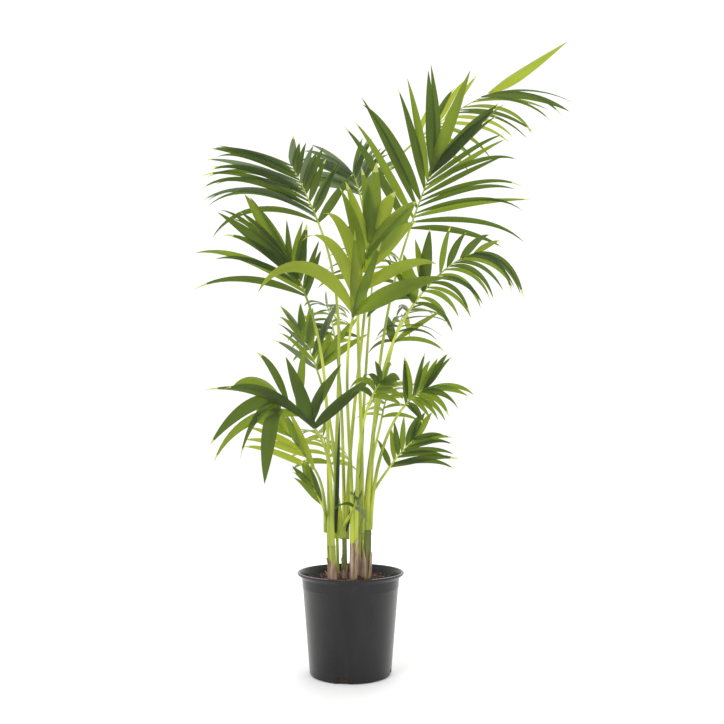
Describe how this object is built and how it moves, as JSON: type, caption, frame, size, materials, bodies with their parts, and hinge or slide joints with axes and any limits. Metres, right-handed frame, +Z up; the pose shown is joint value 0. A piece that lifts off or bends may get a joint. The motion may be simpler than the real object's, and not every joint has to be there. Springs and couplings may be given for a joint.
{
  "type": "potted kentia palm",
  "caption": "Young feather palm clump in a round nursery pot: slim upright stalks carry arching fronds of long narrow leaflets.",
  "frame": {"origin": "centre of the pot's flat underside", "axes": "+Z up through the pot, -Y towards the viewer, +X to the viewer's right"},
  "size_m": [0.8005, 0.768, 1.3259],
  "materials": {
    "pot": "satin charcoal moulded plastic",
    "soil": "moist chunky peat and bark",
    "sheath": "green stem in dry beige fibre sheaths",
    "stalk": "smooth yellow-green stalk",
    "leaf": "satin green leaf with fine parallel veins"
  },
  "bodies": {
    "root": {"frond_back_high": "leaf", "frond_back_left": "leaf", "frond_back_low_left": "leaf", "frond_back_low_right": "leaf", "frond_back_right": "leaf", "frond_foot_front": "leaf", "frond_foot_left": "leaf", "frond_foot_right": "leaf", "frond_front": "leaf", "frond_high_left": "leaf", "frond_high_right": "leaf", "frond_low_front": "leaf", "frond_low_left": "leaf", "frond_low_left_back": "leaf", "frond_low_right": "leaf", "frond_mid_left": "leaf", "frond_mid_left_back": "leaf", "frond_mid_right": "leaf", "frond_top": "leaf", "frond_top_back": "leaf", "pot": "pot", "soil": "soil", "spear_left": "leaf", "spear_right": "leaf", "stalk_back_high": "stalk", "stalk_back_left": "stalk", "stalk_back_low_left": "stalk", "stalk_back_low_right": "stalk", "stalk_back_right": "stalk", "stalk_foot_front": "stalk", "stalk_foot_left": "stalk", "stalk_foot_right": "stalk", "stalk_front": "stalk", "stalk_high_left": "stalk", "stalk_high_right": "stalk", "stalk_low_front": "stalk", "stalk_low_left": "stalk", "stalk_low_left_back": "stalk", "stalk_low_right": "stalk", "stalk_mid_left": "stalk", "stalk_mid_left_back": "stalk", "stalk_mid_right": "stalk", "stalk_top": "stalk", "stalk_top_back": "stalk", "stem_1": "sheath", "stem_2": "sheath", "stem_3": "sheath", "stem_4": "sheath", "stem_5": "sheath", "stem_6": "sheath", "stem_7": "sheath", "stem_8": "sheath", "stem_9": "sheath"}
  },
  "joints": []
}
